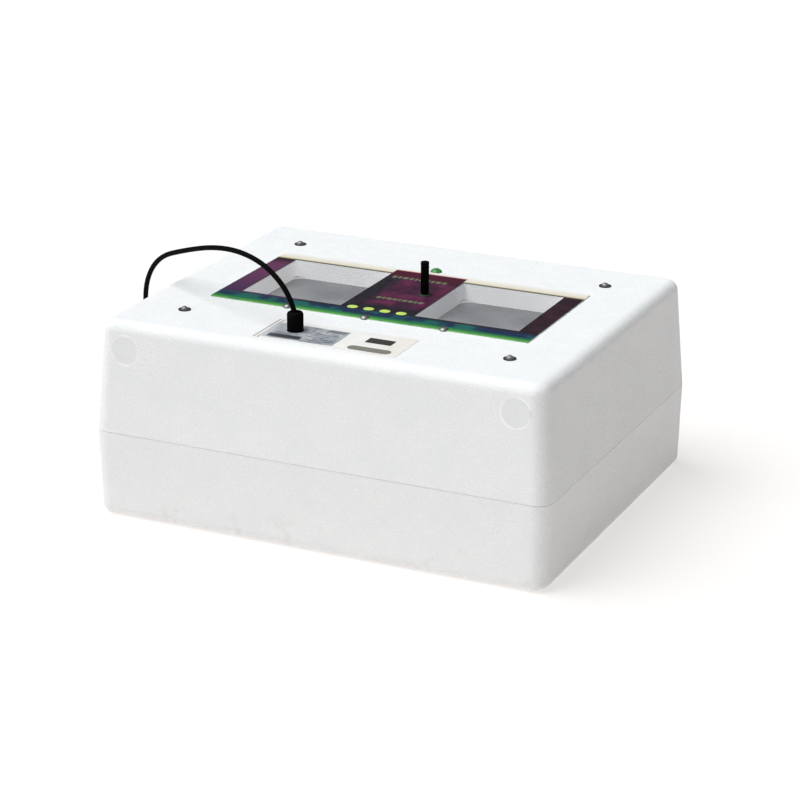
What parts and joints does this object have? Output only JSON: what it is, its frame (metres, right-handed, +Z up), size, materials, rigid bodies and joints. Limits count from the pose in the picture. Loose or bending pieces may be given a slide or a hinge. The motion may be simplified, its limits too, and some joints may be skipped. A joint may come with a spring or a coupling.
{
  "type": "tabletop egg incubator",
  "caption": "Shallow foam tub with a lift-off foam lid, two windows, a heater loop, a turned thermostat stem, a wire floor and a mains lead.",
  "frame": {"origin": "centre of the tub's footprint on the table", "axes": "+Z up, +X to the right along the long side, front faces -Y"},
  "size_m": [0.6622, 0.452, 0.3104],
  "materials": {
    "foam": "moulded bead foam",
    "clear_sheet": "clear plastic sheet, faintly hazy",
    "inner_glazing": "hazy plastic sheet",
    "print": "printed colour film",
    "screw_steel": "zinc-plated",
    "ceramic": "unglazed ceramic",
    "heater_sleeve": "braided glass-fibre sleeve",
    "bush": "moulded nylon",
    "stem_steel": "threaded rod",
    "grip_black": "fluted plastic",
    "brass": "turned",
    "wafer": "thin pressed sheet",
    "bracket_steel": "galvanised strip",
    "switch_black": "phenolic",
    "plunger_red": "moulded",
    "lamp_body": "moulded",
    "lens_green": "translucent lens",
    "lead_white": "insulated wire",
    "terminal": "moulded terminal block",
    "label_cream": "printed paper film",
    "label_silver": "silvered film",
    "label_dark": "printed film",
    "label_olive": "printed film",
    "galvanised": "galvanised wire",
    "card": "printed scale card",
    "thermometer_glass": "clear",
    "cord_rubber": "flexible black lead",
    "blade_brass": "polished"
  },
  "bodies": {
    "base": {"base_shell": "foam", "cord_coil": "cord_rubber", "plug_relief": "cord_rubber", "plug_body": "cord_rubber", "plug_blades": "blade_brass"},
    "wire_floor": {"wire_floor": "galvanised", "thermometer_card": "card", "thermometer_tube": "thermometer_glass"},
    "wafer": {"wafer_disc": "wafer", "wafer_hub": "brass"},
    "stem": {"stem_rod": "stem_steel", "stem_grip": "grip_black"},
    "plunger": {"switch_plunger": "plunger_red"},
    "lid": {"lid_shell": "foam", "window_panel": "clear_sheet", "panel_print": "print", "left_inner_pane": "inner_glazing", "right_inner_pane": "inner_glazing", "panel_screws": "screw_steel", "corner_bolts": "screw_steel", "corner_washers": "screw_steel", "corner_nuts": "screw_steel", "heater_insulators": "ceramic", "heater_wire": "heater_sleeve", "stem_bush": "bush", "bush_nut": "bush", "switch_bracket": "bracket_steel", "switch_body": "switch_black", "switch_screws": "screw_steel", "lamp_body": "lamp_body", "lamp_lens": "lens_green", "switch_leads": "lead_white", "lamp_leads": "lead_white", "terminal_block": "terminal", "instruction_label": "label_cream", "rating_plate": "label_silver", "label_strip": "label_dark", "oval_label": "label_olive", "cord_boot": "cord_rubber", "cord_lead": "cord_rubber"}
  },
  "joints": [
    {"name": "lid_lift", "type": "slide", "parent": "base", "child": "lid", "axis": [0, 0, 1], "range_m": [0, 0.15]},
    {"name": "wire_floor_lift", "type": "slide", "parent": "base", "child": "wire_floor", "axis": [0, 0, 1], "range_m": [0, 0.05]},
    {"name": "wafer_feed", "type": "slide", "parent": "lid", "child": "wafer", "axis": [0, 0, 1], "range_m": [-0.001, 0.001]},
    {"name": "stem_turn", "type": "hinge", "parent": "wafer", "child": "stem", "pos_m": [0.025, 0.02, 0.2], "axis": [0, 0, 1], "range_deg": [-360, 360]},
    {"name": "plunger_press", "type": "slide", "parent": "lid", "child": "plunger", "axis": [0, 0, -1], "range_m": [0, 0.0008], "stiffness_N_per_m": 400}
  ],
  "couplings": [
    {"joint": "stem_turn", "follows": "wafer_feed", "rad_per_m": 6283.2}
  ]
}
